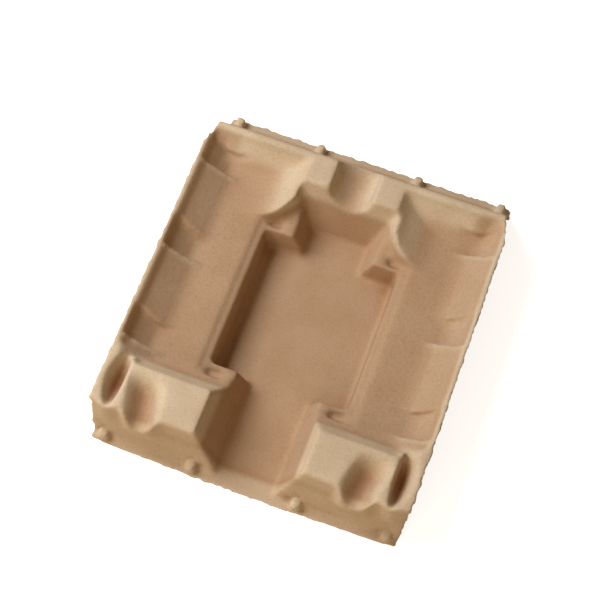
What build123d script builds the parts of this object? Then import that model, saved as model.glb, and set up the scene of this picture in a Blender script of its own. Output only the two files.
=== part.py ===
from build123d import *
from math import cos, radians, sin, sqrt, tan
import os

# Overall size of the tray and thickness of its moulded sheet
length = 292.0
flange_width = 237.0
height = 50.0
sheet = 3.0

# The sides flare out to the rim, which draws in again towards the far corners
side_flare = 2.5
corner_taper = 5.0
rim_width = flange_width + 2 * side_flare

# End walls: depth of the flange in front of each and its lean from upright in degrees
near_flange = 9.0
near_lean = 12.0
far_flange = 8.0
far_lean = 28.0
near_foot = length / 2 - near_flange
far_foot = length / 2 - far_flange

# Side channels: floor, leaning end faces, and the panels that rise to the rim
floor_height = 29.5
near_block_depth = 57.0
channel_near_lean = 34.0
far_wall_depth = 40.0
channel_far_lean = 27.0
panel_band_width = 7.0
panel_depth = 19.5
panel_blend_radius = 20.0
near_blend_radius = 6.0
far_blend_radius = 12.0
floor_strip_width = 14.5
channel_near = near_foot - near_block_depth
channel_far = far_foot - far_wall_depth
panel_rim = rim_width / 2 - panel_band_width
panel_foot = panel_rim - panel_depth
slope_foot = panel_foot - floor_strip_width

# Recessed pockets between the panels
pocket_length = 18.0
pocket_band_width = 3.0
pocket_depth = 18.4
pocket_near_lean = 4.0
pocket_far_lean = 20.0
pocket_shift = 3.0
pocket_share = 0.43
pocket_rim = rim_width / 2 - pocket_band_width
pocket_foot = pocket_rim - pocket_depth
pocket_middle = (channel_far - channel_near) / 2 + pocket_shift
pocket_pitch = pocket_share * (channel_near + channel_far)

# Trough for the round side of the load, open through the near wall
trough_top_width = 82.0
trough_bottom_width = 45.0
trough_far_lean = 20.0
trough_top = trough_top_width / 2
trough_bottom = trough_bottom_width / 2

# Well in the middle, the ledge round it and the slope from the ledge to the channel floor
well_side_width = 10.0
well_near_depth = 17.4
well_far_depth = 49.4
well_draft = 6.0
ledge_height = 27.0
ledge_width = 7.0
ledge_far_depth = 34.0
ledge_lean = 55.0
half_well = trough_top + well_side_width
half_ledge = half_well + ledge_width
well_near = channel_near - well_near_depth
well_far = channel_far - well_far_depth

# Dips beyond the two ends of the well
dip_height = 18.0
dip_length = 5.0
dip_near_depth = 5.5
dip_far_depth = 38.5
dip_side_width = 2.0
dip_draft = 10.0

# Near blocks: bowl beside the flat land, groove by the side wall
bowl_radius = 24.0
bowl_depth = 9.0
bowl_near_depth = 21.0
bowl_side_width = 24.0
groove_width = 3.0
groove_side_width = 11.5
groove_near_depth = 19.5
groove_far_depth = 45.0
groove_height = 13.0
groove_draft = 7.5
groove_outer = rim_width / 2 - groove_side_width
groove_inner = groove_outer - groove_width

# Far blocks: neck notch, flat land, outward slope and rounded corner
neck_radius = 17.0
land_edge_width = 4.0
corner_side_width = 14.0
corner_overlap = 5.0
corner_depth = 8.0
corner_draft = 12.0
land_outer = trough_top - land_edge_width
corner_x = slope_foot - corner_side_width
corner_y = channel_far - corner_depth
corner_radius = corner_x - land_outer + corner_overlap
trough_far = corner_y - 1

# Lugs along both flanges, each with a niche in the wall beside it
lug_end_width = 9.5
lug_trough_width = 18.0
lug_radius = 3.6
lug_top_radius = 2.6
lug_height = 9.0
lug_stand_off = 2.3
niche_radius = 3.0
niche_height = 8.0
niche_offset = 6.2
lug_outer = flange_width / 2 - lug_end_width
lug_inner = trough_bottom + lug_trough_width

# Reach of the cutting shapes past the tray
over = 20.0
above = height + over
wide = rim_width / 2 + over


def run(rise, lean):
    """Sideways travel of a face that climbs by rise at a lean from upright."""
    return rise * tan(radians(lean))


def across(points, skin, near_blend=0, far_blend=0):
    """Prism across the tray from a side profile of (y, z) points, moved out by skin."""
    with BuildPart() as prism:
        with BuildSketch(Plane.YZ) as profile:
            with BuildLine():
                Polyline(*points, close=True)
            make_face()
            if skin:
                offset(amount=skin, kind=Kind.INTERSECTION)
            feet = profile.vertices().sort_by(Axis.Y)[:2].sort_by(Axis.X)
            if near_blend:
                fillet(feet[0], radius=near_blend + skin)
            if far_blend:
                fillet(feet[1], radius=far_blend + skin)
        extrude(amount=wide, both=True)
    return prism.part


def window(near, near_slope, far, far_slope, level, skin, near_blend=0, far_blend=0):
    """Air seen from the side: a floor between two leaning end faces, with rounded feet."""
    up = above - level
    corners = [
        (near, level),
        (near - run(up, near_slope), above),
        (far + run(up, far_slope), above),
        (far, level),
    ]
    return across(corners, skin, near_blend, far_blend)


def recess(near, far, inner, outer, level, draft, top, skin):
    """Air in a rectangular recess that widens upwards, given by its floor."""
    slant = radians(draft)
    grow = skin * (1 - sin(slant)) / cos(slant)
    with BuildPart() as air:
        with BuildSketch(Plane.XY.offset(level - skin)):
            with Locations(((inner + outer) / 2, (near + far) / 2)):
                Rectangle(outer - inner + 2 * grow, far - near + 2 * grow)
        extrude(amount=top - level, taper=-draft)
    return air.part


def channel(skin):
    """Air over the side channel: the slope of the far block, the floor and the panelled side wall."""
    rise = height - floor_height
    slope_span = slope_foot - land_outer
    slope_radius = (slope_span**2 + rise**2) / (2 * rise) + skin
    low = floor_height - skin
    half_way = low + (above - low) / 2
    slope_out = sqrt(slope_radius**2 - (slope_radius - (half_way - low)) ** 2)
    with BuildPart() as air:
        with BuildSketch(Plane.XZ):
            with BuildLine():
                slope = RadiusArc((slope_foot - slope_out, half_way), (slope_foot, low), -slope_radius)
                Polyline(slope @ 1, (slope_foot, above), (slope_foot - slope_out, above), slope @ 0)
            make_face()
        extrude(amount=length, both=True)
        add(wall_space(slope_foot - sheet, panel_foot, panel_rim, panel_blend_radius, skin))
        add(
            window(
                -channel_near,
                channel_near_lean,
                channel_far,
                channel_far_lean,
                floor_height,
                skin,
                near_blend_radius,
                far_blend_radius,
            ),
            mode=Mode.INTERSECT,
        )
    return air.part


def wall_space(start, foot, rim, blend, skin):
    """Air beside a leaning side wall, over the channel floor, with a rounded foot."""
    steep = (rim - foot) / (height - floor_height)
    with BuildPart() as air:
        with BuildSketch(Plane.XZ) as section:
            with BuildLine():
                Polyline(
                    (start, floor_height),
                    (foot, floor_height),
                    (foot + steep * (above - floor_height), above),
                    (start, above),
                    close=True,
                )
            make_face()
            if skin:
                offset(amount=skin, kind=Kind.INTERSECTION)
            if blend:
                corner = section.vertices().sort_by(Axis.Y)[:2].sort_by(Axis.X)[-1]
                fillet(corner, radius=blend + skin)
        extrude(amount=length, both=True)
    return air.part


def pocket(middle, skin):
    """Air in one recessed pocket of the side wall."""
    near_end = middle - pocket_length / 2
    far_end = middle + pocket_length / 2
    with BuildPart() as air:
        add(wall_space(slope_foot, pocket_foot, pocket_rim, 0, skin))
        add(
            window(near_end, pocket_near_lean, far_end, pocket_far_lean, floor_height, skin),
            mode=Mode.INTERSECT,
        )
    return air.part


def corner_prism(skin):
    """Air on the well's side of the rounded corner of the far block, at every level."""
    slant = radians(corner_draft)
    grow = skin * (1 - sin(slant)) / cos(slant)
    round_off = corner_radius + run(floor_height - sheet, corner_draft) - grow
    side = slope_foot - run(floor_height - sheet, corner_draft) + grow
    with BuildPart() as air:
        with BuildSketch(Plane.XY.offset(sheet - skin)):
            with BuildLine():
                Polyline(
                    (corner_x, corner_y - round_off),
                    (side, corner_y - round_off),
                    (side, -length),
                    (-side, -length),
                    (-side, corner_y + over),
                    (corner_x - round_off, corner_y + over),
                    (corner_x - round_off, corner_y),
                )
                RadiusArc((corner_x - round_off, corner_y), (corner_x, corner_y - round_off), -round_off)
            make_face()
        extrude(amount=height, taper=-corner_draft)
    return air.part


def middle_space(skin):
    """Air over the middle of the tray, above the floor of the side channels."""
    with BuildPart() as air:
        add(corner_prism(skin))
        add(
            window(
                -channel_near,
                channel_near_lean,
                trough_end(floor_height),
                trough_far_lean,
                floor_height,
                skin,
                near_blend_radius,
            ),
            mode=Mode.INTERSECT,
        )
    return air.part


def below_floor(near, far, inner, outer, level, draft, skin):
    """A recess in the floor beside the well, stopped by the rounded corner of the far block."""
    with BuildPart() as air:
        add(recess(near, far, inner, outer, level, draft, floor_height, skin))
        add(corner_prism(skin), mode=Mode.INTERSECT)
    return air.part


def trough_end(level):
    """How far the trough reaches at a level, given its far end at the rim."""
    return trough_far - run(height - level, trough_far_lean)


def trough(skin):
    """Air in the trough, open at the near end."""
    steep = (trough_top - trough_bottom) / (height - sheet)
    with BuildPart() as air:
        with BuildSketch(Plane.XZ):
            with BuildLine():
                Polyline(
                    (-trough_bottom, sheet),
                    (trough_bottom, sheet),
                    (trough_bottom + steep * (above - sheet), above),
                    (-trough_bottom - steep * (above - sheet), above),
                    close=True,
                )
            make_face()
            if skin:
                offset(amount=skin, kind=Kind.INTERSECTION)
        extrude(amount=length, both=True)
        add(window(-length, 0, trough_end(sheet), trough_far_lean, sheet, skin), mode=Mode.INTERSECT)
    return air.part


def form(skin):
    """Everything under the surface that lies at depth skin below the top of the sheet."""
    top_near = run(height - sheet, near_lean) - near_foot
    top_far = far_foot - run(height - sheet, far_lean)
    deep = sheet + over
    with BuildPart() as mass:
        # raised body between the end walls, on the slab that carries the flanges
        profile = [
            (-near_foot - run(deep, near_lean), -over),
            (top_near, height),
            (top_far, height),
            (far_foot + run(deep, far_lean), -over),
        ]
        add(across(profile, -skin))
        with Locations((0, 0, sheet - skin)):
            Box(2 * wide, length + over, over, align=(Align.CENTER, Align.CENTER, Align.MAX))

        # side channel, its pockets and the space over the middle
        add(channel(skin), mode=Mode.SUBTRACT)
        for step in (-1, 0, 1):
            add(pocket(pocket_middle + step * pocket_pitch, skin), mode=Mode.SUBTRACT)
        add(middle_space(skin), mode=Mode.SUBTRACT)

        # ledge, dips, well and trough
        blend_length = near_blend_radius * tan(radians((90 - channel_near_lean) / 2))
        ledge_near = channel_near - blend_length - run(floor_height - ledge_height, ledge_lean) - 1
        ledge_far = channel_far - ledge_far_depth
        add(
            below_floor(-ledge_near, ledge_far, -half_ledge, half_ledge, ledge_height, ledge_lean, skin),
            mode=Mode.SUBTRACT,
        )
        for dip_start in (dip_near_depth - channel_near, channel_far - dip_far_depth - dip_length):
            dip_end = dip_start + dip_length
            add(
                below_floor(
                    dip_start, dip_end, trough_top + 1, half_well + dip_side_width, dip_height, dip_draft, skin
                ),
                mode=Mode.SUBTRACT,
            )
        add(
            recess(-well_near, well_far, -half_well, half_well, sheet, well_draft, floor_height, skin),
            mode=Mode.SUBTRACT,
        )
        add(trough(skin), mode=Mode.SUBTRACT)

        # neck notch through the far block
        with Locations(Location((0, length / 2, height), (90, 0, 0))):
            Cylinder(neck_radius + skin, length / 2, mode=Mode.SUBTRACT, align=(Align.CENTER, Align.CENTER, Align.MIN))

        # bowl and groove of the near block
        with Locations((groove_inner - bowl_side_width, bowl_near_depth - near_foot, height - bowl_depth + bowl_radius)):
            Sphere(bowl_radius + skin, mode=Mode.SUBTRACT)
        groove_near = groove_near_depth - near_foot
        groove_far = groove_far_depth - near_foot
        add(
            recess(groove_near, groove_far, groove_inner, groove_outer, groove_height, groove_draft, above, skin),
            mode=Mode.SUBTRACT,
        )

        # niches in both end walls
        for y in (-near_foot, far_foot):
            for x in (lug_outer, lug_inner):
                with Locations((x - niche_offset, y, sheet - skin)):
                    Cylinder(
                        niche_radius + skin,
                        niche_height + skin,
                        mode=Mode.SUBTRACT,
                        align=(Align.CENTER, Align.CENTER, Align.MIN),
                    )
    return mass.part


with BuildPart() as insert_tray:
    # sheet between the top surface and the surface one thickness below it
    add(form(0))
    add(form(sheet), mode=Mode.SUBTRACT)

    # trimmed outline of one half
    with BuildSketch(Plane.XZ):
        with BuildLine():
            Polyline((0, 0), (flange_width / 2, 0), (rim_width / 2, height), (0, height), close=True)
        make_face()
    extrude(amount=length / 2, both=True, mode=Mode.INTERSECT)
    taper_start = corner_y + 2
    far_top = far_foot - run(height - sheet, far_lean)
    along_rim = Vector(-corner_taper, far_top - taper_start, 0)
    down_edge = Vector(-side_flare, far_foot - taper_start, sheet - height)
    split(
        bisect_by=Plane(origin=(rim_width / 2, taper_start, height), z_dir=down_edge.cross(along_rim)),
        keep=Keep.BOTTOM,
    )

    # lugs
    for y in (-near_foot - lug_stand_off, far_foot + lug_stand_off):
        for x in (lug_outer, lug_inner):
            with Locations((x, y, 0)):
                Cone(lug_radius, lug_top_radius, lug_height, align=(Align.CENTER, Align.CENTER, Align.MIN))

    # the other half
    mirror(about=Plane.YZ)

insert_tray.part.label = "insert_tray"

os.makedirs("parts", exist_ok=True)
export_step(insert_tray.part, "parts/insert_tray.step")
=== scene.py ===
import math

import bpy
import numpy as np
from mathutils import Matrix, Vector
from mathutils.bvhtree import BVHTree


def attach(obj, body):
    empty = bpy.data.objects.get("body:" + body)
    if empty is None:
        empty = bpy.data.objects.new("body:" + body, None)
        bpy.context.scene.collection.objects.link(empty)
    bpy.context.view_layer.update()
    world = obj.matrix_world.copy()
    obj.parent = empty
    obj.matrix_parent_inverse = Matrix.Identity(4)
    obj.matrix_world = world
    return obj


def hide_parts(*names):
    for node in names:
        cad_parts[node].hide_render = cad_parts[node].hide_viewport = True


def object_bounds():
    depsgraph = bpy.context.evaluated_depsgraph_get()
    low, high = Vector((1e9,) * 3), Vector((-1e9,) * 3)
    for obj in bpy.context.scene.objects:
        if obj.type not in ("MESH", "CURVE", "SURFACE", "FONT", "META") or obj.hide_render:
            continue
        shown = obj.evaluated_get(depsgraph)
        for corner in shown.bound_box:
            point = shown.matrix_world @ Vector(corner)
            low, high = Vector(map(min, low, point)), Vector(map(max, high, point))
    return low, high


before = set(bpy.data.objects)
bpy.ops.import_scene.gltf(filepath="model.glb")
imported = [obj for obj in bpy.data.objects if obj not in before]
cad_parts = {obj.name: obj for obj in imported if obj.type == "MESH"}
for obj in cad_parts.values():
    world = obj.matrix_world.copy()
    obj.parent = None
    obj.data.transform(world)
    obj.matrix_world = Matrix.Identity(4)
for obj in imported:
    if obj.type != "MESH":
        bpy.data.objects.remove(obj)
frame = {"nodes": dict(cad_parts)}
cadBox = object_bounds()
print("frame loaded:", ", ".join(frame["nodes"]))

mm = 0.001


def linearColour(hexText):
    # sRGB hex to the linear colour that shaders use
    values = [int(hexText[i:i + 2], 16) / 255 for i in (1, 3, 5)]
    return tuple(v / 12.92 if v <= 0.04045 else ((v + 0.055) / 1.055) ** 2.4 for v in values) + (1.0,)


def addNode(tree, kind, settings=None, inputs=None):
    # one node; an input is keyed by name or number, and is a value or another node's output
    node = tree.nodes.new(kind)
    for name, value in (settings or {}).items():
        setattr(node, name, value)
    for key, value in (inputs or {}).items():
        if isinstance(value, bpy.types.NodeSocket):
            tree.links.new(value, node.inputs[key])
        else:
            node.inputs[key].default_value = value
    return node


# Moulded pulp: recycled paper fibre drawn on to a wire screen and dried. It is dead matt and tan.
# Brown painted shade lies in the hollows and on shaded walls, and the trimmed edge is greyer.
# Sizes are in millimetres; the real fibres are finer than the fibre size, which is drawn to show.
pulpSettings = {
    "tan": "#CEBBA0",
    "paleTan": "#D5C4AA",
    # brown of the painted shade in the hollows, corners and shaded walls
    "paintedShadeBrown": "#945A26",
    "fibreBrown": "#A88960",
    # greyer trimmed edge, partly its own colour and partly a painted highlight
    "cutEdgeAndHighlight": "#CDBFAC",
    "cutEdgeHighlightShare": 0.8,
    "cloudSize": 34.0,
    "tuftSize": 3.0,
    "tuftShade": 0.22,  # how far a tuft goes to the fibre colour
    "tuftHeight": 0.45,
    "fibreSize": 1.0,
    "fibreShade": 0.36,
    "fibreHeight": 0.25,
    "roughness": 0.93,
    "specular": 0.18,
}


def makePulp(s):
    material = bpy.data.materials.new("mouldedPulp")
    material.use_nodes = True
    tree = material.node_tree
    tree.nodes.clear()
    place = addNode(tree, "ShaderNodeTexCoord").outputs["Object"]
    soft = {"interpolation_type": "SMOOTHSTEP"}
    colours = {"data_type": "RGBA"}

    # faint clouds where the fibre settled thicker or thinner
    cloud = addNode(tree, "ShaderNodeTexNoise", None, {
        "Vector": place, "Scale": 1 / (s["cloudSize"] * mm), "Detail": 3.0,
    })
    cloudShare = addNode(tree, "ShaderNodeMapRange", soft, {
        "Value": cloud.outputs["Fac"], "From Min": 0.35, "From Max": 0.65,
    })
    field = addNode(tree, "ShaderNodeMix", colours, {
        0: cloudShare.outputs["Result"], 6: linearColour(s["tan"]), 7: linearColour(s["paleTan"]),
    })

    # painted shade: brown of the hollows, corners and shaded walls, from the tray's own attribute
    paintedShade = addNode(tree, "ShaderNodeAttribute", {"attribute_name": "paintedShade"})
    browned = addNode(tree, "ShaderNodeMix", colours, {
        0: paintedShade.outputs["Fac"], 6: field.outputs[2], 7: linearColour(s["paintedShadeBrown"]),
    })

    # single fibres and small tufts, each a little darker than the field
    fibre = addNode(tree, "ShaderNodeTexNoise", None, {
        "Vector": place, "Scale": 1 / (s["fibreSize"] * mm), "Detail": 3.0, "Roughness": 0.7,
    })
    tuft = addNode(tree, "ShaderNodeTexNoise", None, {
        "Vector": place, "Scale": 1 / (s["tuftSize"] * mm), "Detail": 4.0, "Roughness": 0.6,
    })
    fibreShare = addNode(tree, "ShaderNodeMapRange", soft, {
        "Value": fibre.outputs["Fac"], "From Min": 0.45, "From Max": 0.75, "To Max": s["fibreShade"],
    })
    tuftShare = addNode(tree, "ShaderNodeMapRange", soft, {
        "Value": tuft.outputs["Fac"], "From Min": 0.5, "From Max": 0.75, "To Max": s["tuftShade"],
    })
    grainShare = addNode(tree, "ShaderNodeMath", {"operation": "MAXIMUM"}, {
        0: fibreShare.outputs["Result"], 1: tuftShare.outputs["Result"],
    })
    grained = addNode(tree, "ShaderNodeMix", {"data_type": "RGBA", "blend_type": "MULTIPLY"}, {
        0: grainShare.outputs[0], 6: browned.outputs[2], 7: linearColour(s["fibreBrown"]),
    })

    # greyer trimmed edge, partly its own colour and partly a painted highlight
    edge = addNode(tree, "ShaderNodeAttribute", {"attribute_name": "edge"})
    edgeShare = addNode(tree, "ShaderNodeMath", {"operation": "MULTIPLY"}, {
        0: edge.outputs["Fac"], 1: s["cutEdgeHighlightShare"],
    })
    colour = addNode(tree, "ShaderNodeMix", colours, {
        0: edgeShare.outputs[0], 6: grained.outputs[2], 7: linearColour(s["cutEdgeAndHighlight"]),
    })

    # tufts and fibres stand up a little
    tuftBump = addNode(tree, "ShaderNodeBump", None, {
        "Height": tuft.outputs["Fac"], "Strength": 0.5, "Distance": s["tuftHeight"] * mm,
    })
    fibreBump = addNode(tree, "ShaderNodeBump", None, {
        "Height": fibre.outputs["Fac"], "Strength": 0.55, "Distance": s["fibreHeight"] * mm,
        "Normal": tuftBump.outputs["Normal"],
    })
    shader = addNode(tree, "ShaderNodeBsdfPrincipled", None, {
        "Base Color": colour.outputs[2], "Roughness": s["roughness"],
        "Specular IOR Level": s["specular"], "Normal": fibreBump.outputs["Normal"],
    })
    addNode(tree, "ShaderNodeOutputMaterial", None, {"Surface": shader.outputs["BSDF"]})
    return material


# Relief of the pulp: soft lumps, grain, and a ragged bite where the edge attribute is.
def makeReliefTree(material):
    layers = (  # size, height, detail and middle of each noise
        ("Lump Size", "Lump Height", 1.0, 0.5),
        ("Grain Size", "Grain Height", 3.0, 0.5),
        ("Edge Grain", "Edge Bite", 3.0, 0.62),
    )
    tree = bpy.data.node_groups.new("pulpRelief", "GeometryNodeTree")
    tree.interface.new_socket("Geometry", in_out="INPUT", socket_type="NodeSocketGeometry")
    sockets = {}
    for name in [name for layer in layers for name in layer[:2]] + ["Seed"]:
        sockets[name] = tree.interface.new_socket(name, in_out="INPUT", socket_type="NodeSocketFloat")
    tree.interface.new_socket("Geometry", in_out="OUTPUT", socket_type="NodeSocketGeometry")
    source = addNode(tree, "NodeGroupInput").outputs
    position = addNode(tree, "GeometryNodeInputPosition").outputs["Position"]
    normal = addNode(tree, "GeometryNodeInputNormal").outputs["Normal"]
    edge = addNode(tree, "GeometryNodeInputNamedAttribute", {"data_type": "FLOAT"}, {"Name": "edge"})

    heights = []
    for sizeName, heightName, detail, middle in layers:
        scale = addNode(tree, "ShaderNodeMath", {"operation": "DIVIDE"}, {0: 1.0, 1: source[sizeName]})
        noise = addNode(tree, "ShaderNodeTexNoise", {"noise_dimensions": "4D"}, {
            "Vector": position, "W": source["Seed"], "Scale": scale.outputs[0], "Detail": detail,
        })
        centred = addNode(tree, "ShaderNodeMath", {"operation": "SUBTRACT"}, {
            0: noise.outputs["Fac"], 1: middle,
        })
        height = addNode(tree, "ShaderNodeMath", {"operation": "MULTIPLY"}, {
            0: centred.outputs[0], 1: source[heightName],
        })
        heights.append(height.outputs[0])
    lumpHeight, grainHeight, biteDepth = heights

    # lumps and grain stand along the normal; the bite goes level, so that the sheet keeps its thickness
    lumpy = addNode(tree, "ShaderNodeMath", {"operation": "ADD"}, {0: lumpHeight, 1: grainHeight})
    bitten = addNode(tree, "ShaderNodeMath", {"operation": "MULTIPLY"}, {
        0: biteDepth, 1: edge.outputs["Attribute"],
    })
    flattened = addNode(tree, "ShaderNodeVectorMath", {"operation": "MULTIPLY"}, {
        0: normal, 1: (1.0, 1.0, 0.1),
    })
    inwards = addNode(tree, "ShaderNodeVectorMath", {"operation": "SCALE"}, {
        "Vector": flattened.outputs["Vector"], "Scale": bitten.outputs[0],
    })
    outwards = addNode(tree, "ShaderNodeVectorMath", {"operation": "SCALE"}, {
        "Vector": normal, "Scale": lumpy.outputs[0],
    })
    both = addNode(tree, "ShaderNodeVectorMath", {"operation": "ADD"}, {
        0: outwards.outputs["Vector"], 1: inwards.outputs["Vector"],
    })
    moved = addNode(tree, "GeometryNodeSetPosition", None, {
        "Geometry": source["Geometry"], "Offset": both.outputs["Vector"],
    })
    real = addNode(tree, "GeometryNodeRealizeInstances", None, {"Geometry": moved.outputs["Geometry"]})
    painted = addNode(tree, "GeometryNodeSetMaterial", None, {
        "Geometry": real.outputs["Geometry"], "Material": material,
    })
    addNode(tree, "NodeGroupOutput", None, {"Geometry": painted.outputs["Geometry"]})
    return tree, sockets


def finished(piece):
    # turns the piece's modifiers into plain mesh
    bpy.context.view_layer.update()
    mesh = bpy.data.meshes.new_from_object(piece.evaluated_get(bpy.context.evaluated_depsgraph_get()))
    piece.modifiers.clear()
    piece.data = mesh


def remeshed(piece, voxel):
    remesh = piece.modifiers.new("evenSkin", "REMESH")
    remesh.mode = "VOXEL"
    remesh.voxel_size = voxel * mm
    finished(piece)


def softened(piece, rounds, group=""):
    soft = piece.modifiers.new("softBends", "SMOOTH")
    soft.factor = 0.5
    soft.iterations = rounds
    soft.vertex_group = group
    finished(piece)


def readVectors(items, name):
    values = np.empty(len(items) * 3, dtype=np.float64)
    items.foreach_get(name, values)
    return values.reshape(-1, 3)


def readSkin(piece):
    # places and normals of the piece's points
    return readVectors(piece.data.vertices, "co"), readVectors(piece.data.vertex_normals, "vector")


def movePoints(piece, points):
    piece.data.vertices.foreach_set("co", points.reshape(-1))
    piece.data.update()


def setValues(mesh, name, values):
    attribute = mesh.attributes.get(name) or mesh.attributes.new(name, "FLOAT", "POINT")
    attribute.data.foreach_set("value", values.astype(np.float32))


def setGroup(piece, name, tenths):
    # a vertex group whose weights are whole tenths
    group = piece.vertex_groups.new(name=name)
    for level in range(1, 11):
        group.add([int(i) for i in np.nonzero(tenths == level)[0]], level / 10, "REPLACE")


def inMillimetres(points):
    # distance from the middle plane, place along the tray, and height
    return np.abs(points[:, 0]) / mm, points[:, 1] / mm, points[:, 2] / mm


def between(values, start, full):
    # 0 at start and 1 at full, with soft ends, on whichever side full lies
    share = np.clip((values - start) / (full - start), 0.0, 1.0)
    return share * share * (3 - 2 * share)


def within(values, start, full, last, end):
    # 1 from full to last, and 0 before start and after end
    return between(values, start, full) * between(values, end, last)


def hill(distance, width):
    return np.exp(-(distance / width) ** 2)


def averaged(mesh, values, rounds):
    # each point's value shared with its neighbours
    ends = np.empty(len(mesh.edges) * 2, dtype=np.int64)
    mesh.edges.foreach_get("vertices", ends)
    first, second = ends.reshape(-1, 2).T
    count = np.bincount(ends, minlength=len(values))
    for step in range(rounds):
        total = np.bincount(first, values[second], len(values))
        total += np.bincount(second, values[first], len(values))
        values = 0.5 * values + 0.5 * total / count
    return values


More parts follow.
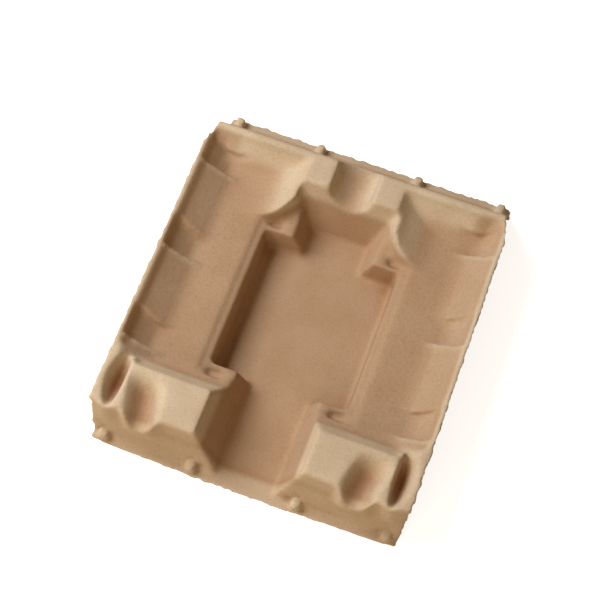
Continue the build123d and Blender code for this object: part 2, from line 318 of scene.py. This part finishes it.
# What a user would change on the tray. Sizes and places are in millimetres on the right half, and
# the left half mirrors them. Two numbers say where a change starts and where it is full. Four say
# where it starts, where it is full, up to where it stays full, and where it ends.
traySettings = {
    "voxel": 1.7,  # cell of the new surface mesh
    "weldGap": 0.02,
    "seed": 7,

    # the sheet as the frame has it
    "sheet": 3.0,
    "floor": 29.5,
    "rim": 50.0,
    "halfWidth": 121.0,
    "wallTilt": 0.3,  # a normal that rises or falls less than this belongs to a wall
    "upperTilt": 0.2,
    "channelAlong": (-84.0, -78.0, 104.0, 112.0),

    # valley between each near block and the side wall
    "valleyFloor": 33.0,
    "valleyInner": 105.5,
    "valleyOuter": 106.5,
    "innerSlope": 3.4,
    "outerSlope": 1.75,
    "nearSlope": 4.0,
    "valleyNear": -124.5,
    "valleyMiddle": -107.0,
    "valleyFar": -84.0,
    "valleySpan": (-112.0, -92.0),  # a wall of the valley faces this stretch
    "valleyAcross": (97.5, 102.0, 115.5, 117.5),
    "nearBlend": (3.5, 1.0),  # how far before its near end the valley starts and is full
    "farBlend": 6.0,
    "valleyShare": 0.96,
    "saddle": 11.0,  # rise of the valley's floor towards both of its ends
    "nearBulge": 3.5,  # the near wall stands out round the valley's end
    "bulgeMiddle": 107.0,
    "bulgeWidth": 8.0,
    "bulgeAlong": (-110.0, -121.0),
    "bulgeHeights": (18.0, 34.0),
    "crest": 100.6,  # thin crest between the valley and the bowl
    "crestWidth": 2.0,
    "crestAlong": (-128.0, -124.0, -101.0, -97.0),
    "crestFrom": 40.0,
    "crestLift": 3.0,

    # bowl of each near block, open to the near wall
    "bowlPlace": (84.0, -112.0),
    "bowlTurn": 0.22,  # the bowl leans inwards towards the near end
    "bowlSide": (16.0, 1.6),  # from its edge to its bottom
    "bowlDepth": 13.5,
    "bowlAlong": (-94.0, -112.0),
    "bowlBlock": (56.0, 60.0, 99.0, 102.0),
    "bowlStart": (-92.0, -94.0),
    "bowlFrom": 27.0,
    "wallTop": 129.0,
    "lipBulge": 6.0,  # the bowl's lip stands out over the near wall
    "lipShift": 1.0,
    "lipSide": (18.0, 7.0),
    "lipAlong": (-121.0, -127.0),
    "lipHeights": (18.0, 33.0),

    # dips at the ends of the well
    "dipPlaces": ((-78.0, -66.0), (50.0, 64.0)),
    "dipSides": (40.0, 56.0),
    "dipMiddle": 47.5,
    "dipRim": 26.5,
    "dipFrom": 10.0,
    "dipFill": 0.55,

    # bends in the far corners and at the foot of the far wall
    "cornerBend": (96.0, 94.0, 21.0),  # start across, start along, and radius
    "footBend": (84.0, 29.0),  # start along, and reach
    "bendRise": (0.1, 1.05),  # shares of the radius or reach
    "bendAcross": (36.0, 44.0, 115.0, 117.5),
    "bendStart": 80.0,
    "bendEnd": (115.0, 110.0),
    "bendLift": 20.0,
    "bendShare": 0.8,

    # thin side rim, and the near edge
    "rimPlaces": (99.0, 113.0, 117.6),  # foot, shoulder and inner edge of the thin side rim
    "rimDrop": 5.5,  # how far the wall falls away behind the rim
    "rimHeights": (29.5, 35.0),
    "skinLift": 4.0,  # added to the lower skin's height before that test
    "edgeBow": 3.0,  # how far the near corners of the flange stand back
    "edgeAlong": (-139.0, -145.0),

    # smoothing of the moulded bends
    "softRounds": 3,
    "softStart": 2.5,  # how far inside the outline a bend is fully soft
    "flatSpare": 1.5,  # part of it that the rim and the foot are given
    "sideFoot": 118.5,
    "sideLean": 2.0,  # how far the side wall leans out from foot to rim
    "lugSoft": 2,  # tenths of the smoothing that the lugs take
    "lugPlane": (132.5, 2.0, 13.0),  # from here to the ends, and between these heights
    "crispRounds": 1,  # everywhere, cut edges too
    "valleyRounds": 6,
    "valleySoftAcross": (99.0, 103.0, 115.5, 117.5),
    "valleySoftAlong": (-134.0, -131.0, -94.0, -90.0),
    "valleySoftFrom": 8.0,

    # crest line and crease of each pocket, and the lugs
    "pocketNear": (-74.3, 2.2, 78.7),  # pale crest line at the near end of each pocket
    "pocketFar": (-54.5, 23.0, 96.0),  # arched crease at the far end of each pocket
    "lineHeight": 1.5,
    "lineWidth": 1.5,
    "lineAcross": (84.0, 92.0, 115.0, 117.5),
    "lineFrom": 26.0,
    "creaseArch": 0.018,
    "creaseMiddle": 96.0,
    "creaseDepth": 1.8,
    "creaseWidth": 2.2,
    "creaseAcross": (81.0, 96.0, 112.5, 116.5),
    "creaseFade": (101.0, 108.0),
    "creaseFaded": 0.45,
    "ridgeShare": 0.4,  # low ridge along the crease
    "ridgeShift": 2.6,
    "ridgeWidth": 1.8,
    "lugPlaces": ((109.0, -139.3), (40.5, -139.3), (109.0, 140.3), (40.5, 140.3)),
    "lugGrow": 1.3,
    "lugSide": (6.0, 4.2),
    "lugFoot": (3.5, 5.5),
    "lugLift": 1.6,
    "lugTop": (4.5, 2.5),
    "lugHeights": (5.0, 9.0),

    # relief of the pulp
    "lumpSize": 26.0,
    "lumpHeight": 0.5,
    "grainSize": 3.2,
    "grainHeight": 0.16,
    "edgeBite": 6.5,  # how deep the trimmed edges are ragged
    "edgeGrain": 5.0,
    "endEdge": (142.2, 145.0),
    "sideEdge": (111.0, 114.0),
    "sideEdgeFacing": (0.25, 0.7),

    # painted shade: brown of the hollows, corners and walls turned from the light
    "floorShadeShare": 0.5,  # all that lies deep between the end walls
    "brownAlong": (-133.0, -127.0, 118.0, 124.0),
    "brownAcross": (119.0, 117.0),
    "hollowDepth": (10.8, 18.9),  # depth under the rim over which the painted shade grows full
    "wallShadeShare": 0.8,  # the side wall's share of it
    "wallAcross": (92.0, 99.0),
    "wallDepth": (0.5, 3.0),
    "cornerShadeShare": 0.66,  # closed corners
    "rays": 16,
    "hollowReach": 45.0,  # how far off a wall still adds painted shade
    "cornerCover": (0.18, 0.85),
    "outerShadeShare": 0.22,  # outer faces of the end walls
    "outerAlong": (125.0, 129.0),
    "outerDepth": (2.5, 4.5),
    "bowlShadeShare": 0.5,  # bowls and valleys of the near blocks
    "bowlBrownAcross": (62.0, 68.0),
    "bowlBrownFade": (101.0, 105.0),
    "bowlBrownFaded": 0.6,
    "bowlBrownAlong": (-131.0, -126.0, -94.0, -90.0),
    "bowlBrownDepth": (2.0, 13.0),
    "bowlBrownFrom": (28.0, 34.0),
    "linePale": 0.8,  # how far the crest lines stay pale, out of the painted shade
    "linePaleAcross": (88.0, 96.0),
    "lugPaleSide": (6.0, 4.5),
    "lugPaleFrom": (4.0, 6.0),
    "brownRounds": 2,
}


def pressed(points, normals, s):
    # soft presses that finish the moulded shape
    side = np.sign(points[:, 0])
    x, y, z = inMillimetres(points)
    nx, ny, nz = normals[:, 0] * side, normals[:, 1], normals[:, 2]
    facesUp, notDown = nz > s["wallTilt"], nz > -s["wallTilt"]

    # valley beside each near block; under is how far a point's own skin lies below the upper one
    toward = ((s["valleyInner"] + s["valleyOuter"]) / 2 - x) * nx + (np.clip(y, *s["valleySpan"]) - y) * ny
    upperWall = notDown & (toward > 0) & (y > s["valleyNear"] - s["nearBlend"][1])
    under = np.where(facesUp | upperWall, 0.0, s["sheet"])
    along = np.interp(y, (s["valleyNear"], s["valleyMiddle"], s["valleyFar"]), (-1.0, 0.0, 1.0))
    valley = s["valleyFloor"] + s["saddle"] * along ** 2 + np.maximum.reduce([
        -under,
        s["outerSlope"] * (x - s["valleyOuter"]) - under * math.hypot(1, s["outerSlope"]),
        s["innerSlope"] * (s["valleyInner"] - x) - under * math.hypot(1, s["innerSlope"]),
        s["nearSlope"] * (s["valleyNear"] - y) - under,
    ])
    valley = np.minimum(valley, s["rim"] - under)
    nearStart, nearFull = (s["valleyNear"] - blend for blend in s["nearBlend"])
    share = within(x, *s["valleyAcross"])
    share *= within(y, nearStart, nearFull, s["valleyFar"] - s["farBlend"], s["valleyFar"])
    z = z + s["valleyShare"] * share * (valley - z)
    bulge = hill(x - s["bulgeMiddle"], s["bulgeWidth"]) * between(y, *s["bulgeAlong"])
    y = y - s["nearBulge"] * bulge * between(z, *s["bulgeHeights"])
    crest = hill(x - s["crest"], s["crestWidth"]) * within(y, *s["crestAlong"]) * (z > s["crestFrom"])
    z = z + crest * np.clip(s["rim"] - z, 0, s["crestLift"])

    # long bowl, whose lip bulges over the near wall
    bowlLine = s["bowlPlace"][0] + s["bowlTurn"] * (y - s["bowlPlace"][1])
    bowl = s["bowlDepth"] * between(np.abs(x - bowlLine), *s["bowlSide"]) * between(y, *s["bowlAlong"])
    wallFront = (y < -s["wallTop"]) & (ny < 0)
    bowl = s["rim"] - bowl - np.where(facesUp | wallFront, 0.0, s["sheet"])
    target = np.where(-y < s["wallTop"] - s["sheet"], bowl, np.minimum(z, bowl))
    share = within(x, *s["bowlBlock"]) * between(y, *s["bowlStart"]) * (z > s["bowlFrom"])
    z = z + share * (target - z)
    lip = between(np.abs(x - bowlLine - s["lipShift"]), *s["lipSide"]) * between(y, *s["lipAlong"])
    y = y - s["lipBulge"] * lip * between(z, *s["lipHeights"])

    # shallower dips at the ends of the well
    for near, far in s["dipPlaces"]:
        toward = (s["dipMiddle"] - x) * nx + ((near + far) / 2 - y) * ny
        level = s["dipRim"] - np.where(facesUp | (notDown & (toward > 0)), 0, s["sheet"])
        inDip = (y > near) & (y < far) & (x > s["dipSides"][0]) & (x < s["dipSides"][1])
        inDip &= (z < level) & (z > s["dipFrom"])
        z = np.where(inDip, z + s["dipFill"] * (level - z), z)

    # wide bends between the far wall, the side walls and the floor
    startX, startY, radius = s["cornerBend"]
    footStart, footReach = s["footBend"]
    corner = np.hypot(np.maximum(x - startX, 0), np.maximum(y - startY, 0)) / radius
    rise = np.maximum(between(corner, *s["bendRise"]), between((y - footStart) / footReach, *s["bendRise"]))
    bend = s["floor"] + (s["rim"] - s["floor"]) * rise - np.where(nz > 0, 0, s["sheet"])
    share = within(x, *s["bendAcross"]) * between(y, *s["bendEnd"]) * (y > s["bendStart"])
    z = z + s["bendShare"] * share * np.clip(bend - z, 0, s["bendLift"])

    # thin side rim along the channel, and a near edge that bows out
    drop = np.interp(x, s["rimPlaces"], (0.0, s["rimDrop"], 0.0))
    drop *= between(z + np.where(nz < 0, s["skinLift"], 0), *s["rimHeights"])
    z = z - drop * within(y, *s["channelAlong"])
    y = y + s["edgeBow"] * (x / s["halfWidth"]) ** 2 * between(y, *s["edgeAlong"])
    return np.stack((side * x, y, z), axis=1) * mm


def softenBends(tray, low, high, s):
    # the flat rim and the trimmed outline stay square; every bend is moulded soft
    x, y, z = inMillimetres(readVectors(tray.data.vertices, "co"))
    height = z - low.z / mm
    fromEnd = np.minimum(y - low.y / mm, high.y / mm - y)
    fromSide = s["sideFoot"] + s["sideLean"] * z / (high.z / mm) - x
    fromFlat = np.minimum(height, high.z / mm - z) + s["flatSpare"]
    inwards = np.minimum(np.minimum(fromEnd, fromSide), fromFlat)
    tenths = np.round(np.clip(inwards / s["softStart"], 0.0, 1.0) * 10)
    lugStart, lugLow, lugHigh = s["lugPlane"]
    onFlange = (np.abs(y) > lugStart) & (height > lugLow) & (height < lugHigh)
    setGroup(tray, "soft", np.where(onFlange, np.minimum(tenths, s["lugSoft"]), tenths))
    softened(tray, s["softRounds"], "soft")
    softened(tray, s["crispRounds"])

    # the valleys take more
    x, y, z = inMillimetres(readVectors(tray.data.vertices, "co"))
    valley = within(x, *s["valleySoftAcross"]) * within(y, *s["valleySoftAlong"]) * (z > s["valleySoftFrom"])
    setGroup(tray, "valley", np.round(valley * 10))
    softened(tray, s["valleyRounds"], "valley")
    tray.vertex_groups.clear()


def lined(points, normals, s):
    # crest line and floor crease of each pocket, fine enough to come after the smoothing
    side = np.sign(points[:, 0])
    x, y, z = inMillimetres(points)
    upper = (normals[:, 2] > s["upperTilt"]) & (z > s["lineFrom"])
    raised = np.zeros(len(points))
    wall = within(x, *s["lineAcross"]) * upper
    for place in s["pocketNear"]:
        raised += s["lineHeight"] * wall * hill(y - place, s["lineWidth"])
    floor = within(x, *s["creaseAcross"]) * (1 - s["creaseFaded"] * between(x, *s["creaseFade"])) * upper
    for place in s["pocketFar"]:
        past = y - place - s["creaseArch"] * (x - s["creaseMiddle"]) ** 2
        ridge = s["ridgeShare"] * s["lineHeight"] * hill(past - s["ridgeShift"], s["ridgeWidth"])
        raised += floor * (ridge - s["creaseDepth"] * hill(past, s["creaseWidth"]))
    moved = points + normals * raised[:, None] * mm

    # lugs stand out of the flanges
    for lugX, lugY in s["lugPlaces"]:
        outX, outY = x - lugX, y - lugY
        reach = np.hypot(outX, outY)
        push = s["lugGrow"] * between(reach, *s["lugSide"]) * between(z, *s["lugFoot"]) / np.maximum(reach, 1.0)
        moved[:, 0] += side * outX * push * mm
        moved[:, 1] += outY * push * mm
        moved[:, 2] += s["lugLift"] * between(reach, *s["lugTop"]) * between(z, *s["lugHeights"]) * mm
    return moved


def trimmedShare(points, normals, s):
    # the trimmed edge faces outwards at the very outline
    x, y, z = inMillimetres(points)
    outwards = normals[:, 0] * np.sign(points[:, 0])
    sideEdge = between(x, *s["sideEdge"]) * between(outwards, *s["sideEdgeFacing"])
    return np.maximum(between(np.abs(y), *s["endEdge"]), sideEdge)


def addRelief(tray, s, material):
    reliefTree, sockets = makeReliefTree(material)
    relief = tray.modifiers.new("pulpRelief", "NODES")
    relief.node_group = reliefTree
    given = {
        "Lump Size": s["lumpSize"] * mm, "Lump Height": s["lumpHeight"] * mm,
        "Grain Size": s["grainSize"] * mm, "Grain Height": s["grainHeight"] * mm,
        "Edge Grain": s["edgeGrain"] * mm, "Edge Bite": s["edgeBite"] * mm, "Seed": float(s["seed"]),
    }
    for name, value in given.items():
        relief[sockets[name].identifier] = value
    finished(tray)


def coveredShare(piece, points, normals, reach, rays):
    # how much of the space in front of each upper point the tray itself covers
    bpy.context.view_layer.update()
    walls = BVHTree.FromObject(piece, bpy.context.evaluated_depsgraph_get())
    across = np.cross(normals, (0.31, 0.87, 0.38))  # any direction that no wall faces
    across /= np.linalg.norm(across, axis=1)[:, None]
    along = np.cross(normals, across)
    covered = np.zeros(len(points))
    upper = np.nonzero(normals[:, 2] > -0.3)[0]  # no rays from the underside
    starts = [tuple(p) for p in points[upper] + normals[upper] * 0.3 * mm]  # just off the skin
    goldenTurn = 2.39996  # spreads the rays evenly
    for ray in range(rays):
        radius = math.sqrt((ray + 0.5) / rays)
        turn = ray * goldenTurn
        aim = across[upper] * (radius * math.cos(turn)) + along[upper] * (radius * math.sin(turn))
        aim += normals[upper] * math.sqrt(1 - radius * radius)
        hits = [1 - hit[3] / reach if hit[0] is not None else 0.0
                for hit in map(walls.ray_cast, starts, [tuple(a) for a in aim], [reach] * len(upper))]
        covered[upper] += np.array(hits) / rays
    return covered


def paintedShadeShare(tray, points, top, s):
    # painted shade: all that lies well under the rim between the end walls, and closed corners most
    normals = readVectors(tray.data.vertex_normals, "vector")
    x, y, z = inMillimetres(points)
    depth = top / mm - z
    inside = within(y, *s["brownAlong"]) * between(x, *s["brownAcross"])
    sideWall = between(x, *s["wallAcross"]) * between(depth, *s["wallDepth"]) * within(y, *s["channelAlong"])
    brown = s["floorShadeShare"] * inside * np.maximum(between(depth, *s["hollowDepth"]), s["wallShadeShare"] * sideWall)
    # occlusion by the tray itself, painted in as shade in the corners
    covered = coveredShare(tray, points, normals, s["hollowReach"] * mm, s["rays"])
    brown += s["cornerShadeShare"] * between(covered, *s["cornerCover"])
    brown += s["outerShadeShare"] * between(np.abs(y), *s["outerAlong"]) * between(depth, *s["outerDepth"])

    # bowls and valleys of the near blocks
    inBlock = between(x, *s["bowlBrownAcross"]) * (1 - s["bowlBrownFaded"] * between(x, *s["bowlBrownFade"]))
    inBlock *= within(y, *s["bowlBrownAlong"]) * (normals[:, 2] > -s["upperTilt"])
    brown += s["bowlShadeShare"] * inBlock * between(depth, *s["bowlBrownDepth"]) * between(z, *s["bowlBrownFrom"])

    # crest lines and lugs are kept out of the painted shade and stay pale
    for place in s["pocketNear"]:
        brown *= 1 - s["linePale"] * hill(y - place, s["lineWidth"]) * between(x, *s["linePaleAcross"])
    for lugX, lugY in s["lugPlaces"]:
        reach = np.hypot(x - lugX, y - lugY)
        brown *= 1 - between(reach, *s["lugPaleSide"]) * between(z, *s["lugPaleFrom"])
    return np.clip(averaged(tray.data, brown, s["brownRounds"]), 0.0, 1.0)


def makeTray(s, material):
    source = frame["nodes"]["insert_tray"]
    tray = bpy.data.objects.new("mouldedTray", source.data.copy())
    bpy.context.collection.objects.link(tray)
    weld = tray.modifiers.new("weld", "WELD")
    weld.merge_threshold = s["weldGap"] * mm
    remeshed(tray, s["voxel"])

    # pressed to its final shape, then meshed evenly again
    points, normals = readSkin(tray)
    movePoints(tray, pressed(points, normals, s))
    remeshed(tray, s["voxel"])
    print("tray pressed and remeshed:", len(tray.data.polygons), "faces")

    low, high = Vector(cadBox[0]), Vector(cadBox[1])
    softenBends(tray, low, high, s)
    print("tray bends softened")

    points, normals = readSkin(tray)
    points = lined(points, normals, s)
    movePoints(tray, points)
    setValues(tray.data, "edge", trimmedShare(points, normals, s))
    addRelief(tray, s, material)

    # nothing stands outside the tray's own box
    points = np.clip(readVectors(tray.data.vertices, "co"), np.array(low), np.array(high))
    movePoints(tray, points)
    for face in tray.data.polygons:
        face.use_smooth = True
    print("tray relief done:", len(tray.data.vertices), "points")

    # painted shade in the hollows, corners and shaded walls, kept as an attribute for the pulp's colour
    setValues(tray.data, "paintedShade", paintedShadeShare(tray, points, high.z, s))
    print("tray hollows browned")

    tray.data.materials.clear()
    tray.data.materials.append(material)
    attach(tray, "root")
    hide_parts("insert_tray")


# Places and sizes of the stage are in metres, powers in watts.
stageSettings = {
    "aim": (0.0, 0.0, 0.02),
    "boxSize": 0.7,  # side of each soft box
    "keyPower": 15.6,
    "keyPlace": (-0.82, 0.08, 1.02),
    "keyColour": "#FFFFFF",
    "fill": 0.2,
    "fillColour": "#FFD39C",
    "frontPower": 4.8,
    "frontPlace": (-0.15, -1.15, 0.5),
    "frontColour": "#FFEBD0",
    "floorSize": 6.0,
    "floorPlace": (0.0, 0.0, -0.0002),  # just under the flanges
    "floorColour": "#F2F1EF",
    "floorShade": "#E6E2DC",  # what the floor throws back on to the tray
    "floorGlow": 0.82,
}


def makeFloor(s):
    material = bpy.data.materials.new("paperSweep")
    material.use_nodes = True
    tree = material.node_tree
    tree.nodes.clear()
    seen = addNode(tree, "ShaderNodeLightPath").outputs["Is Camera Ray"]
    shaded = addNode(tree, "ShaderNodeBsdfDiffuse", None, {"Color": linearColour(s["floorShade"])})
    pale = addNode(tree, "ShaderNodeBsdfDiffuse", None, {"Color": linearColour(s["floorColour"])})
    glow = addNode(tree, "ShaderNodeEmission", None, {"Color": (1, 1, 1, 1), "Strength": s["floorGlow"]})
    bright = addNode(tree, "ShaderNodeAddShader", None, {0: pale.outputs[0], 1: glow.outputs[0]})
    choice = addNode(tree, "ShaderNodeMixShader", None, {
        0: seen, 1: shaded.outputs[0], 2: bright.outputs[0],
    })
    addNode(tree, "ShaderNodeOutputMaterial", None, {"Surface": choice.outputs[0]})
    bpy.ops.mesh.primitive_plane_add(size=s["floorSize"], location=s["floorPlace"])
    floor = bpy.context.object
    floor.name = "floor"
    floor.data.materials.append(material)


def makeLights(s):
    world = bpy.data.worlds.new("studio")
    bpy.context.scene.world = world
    world.use_nodes = True
    tree = world.node_tree
    tree.nodes.clear()
    seen = addNode(tree, "ShaderNodeLightPath").outputs["Is Camera Ray"]
    fill = addNode(tree, "ShaderNodeBackground", None, {
        "Color": linearColour(s["fillColour"]), "Strength": s["fill"],
    })
    white = addNode(tree, "ShaderNodeBackground", None, {"Color": (1, 1, 1, 1), "Strength": 1.0})
    choice = addNode(tree, "ShaderNodeMixShader", None, {0: seen, 1: fill.outputs[0], 2: white.outputs[0]})
    addNode(tree, "ShaderNodeOutputWorld", None, {"Surface": choice.outputs[0]})

    # a large soft box, high on the left, and a weak one low in front
    for name in ("key", "front"):
        light = bpy.data.lights.new(name + "Box", "AREA")
        light.shape = "SQUARE"
        light.size = s["boxSize"]
        light.energy = s[name + "Power"]
        light.color = linearColour(s[name + "Colour"])[:3]
        lamp = bpy.data.objects.new(name + "Box", light)
        bpy.context.collection.objects.link(lamp)
        lamp.location = s[name + "Place"]
        aim = Vector(s["aim"]) - Vector(lamp.location)
        lamp.rotation_euler = aim.to_track_quat("-Z", "Y").to_euler()


# Angles in degrees, distances in metres; the lens is for a 36 mm wide sensor.
cameraSettings = {
    "azimuth": 17.4,
    "elevation": 66.7,
    "roll": 3.0,
    "distance": 1.142,
    "aim": (-0.0073, 0.0166),
    "aimHeight": 0.003,
    "lens": 90.0,
}


def makeCamera(s):
    azimuth, elevation, roll = (math.radians(s[k]) for k in ("azimuth", "elevation", "roll"))
    forward = Vector((0, math.cos(elevation), -math.sin(elevation)))
    right = Vector((1, 0, 0))
    up = right.cross(forward)
    rolledRight = right * math.cos(roll) + up * math.sin(roll)
    rolledUp = -right * math.sin(roll) + up * math.cos(roll)
    turn = Matrix.Rotation(azimuth, 3, "Z")
    place = Vector((s["aim"][0], s["aim"][1], 0)) - forward * s["distance"]
    columns = [turn @ rolledRight, turn @ rolledUp, turn @ -forward]
    place = turn @ place + Vector((0, 0, s["aimHeight"]))
    data = bpy.data.cameras.new("camera")
    data.sensor_width = 36.0
    data.lens = s["lens"]
    data.clip_start = 0.05
    data.clip_end = 20
    camera = bpy.data.objects.new("camera", data)
    bpy.context.collection.objects.link(camera)
    camera.matrix_world = Matrix((
        (columns[0].x, columns[1].x, columns[2].x, place.x),
        (columns[0].y, columns[1].y, columns[2].y, place.y),
        (columns[0].z, columns[1].z, columns[2].z, place.z),
        (0, 0, 0, 1),
    ))
    bpy.context.scene.camera = camera


pulp = makePulp(pulpSettings)
makeTray(traySettings, pulp)
makeFloor(stageSettings)
makeLights(stageSettings)
makeCamera(cameraSettings)
bpy.context.scene.view_settings.view_transform = "Standard"
print("stage, lights and camera ready")
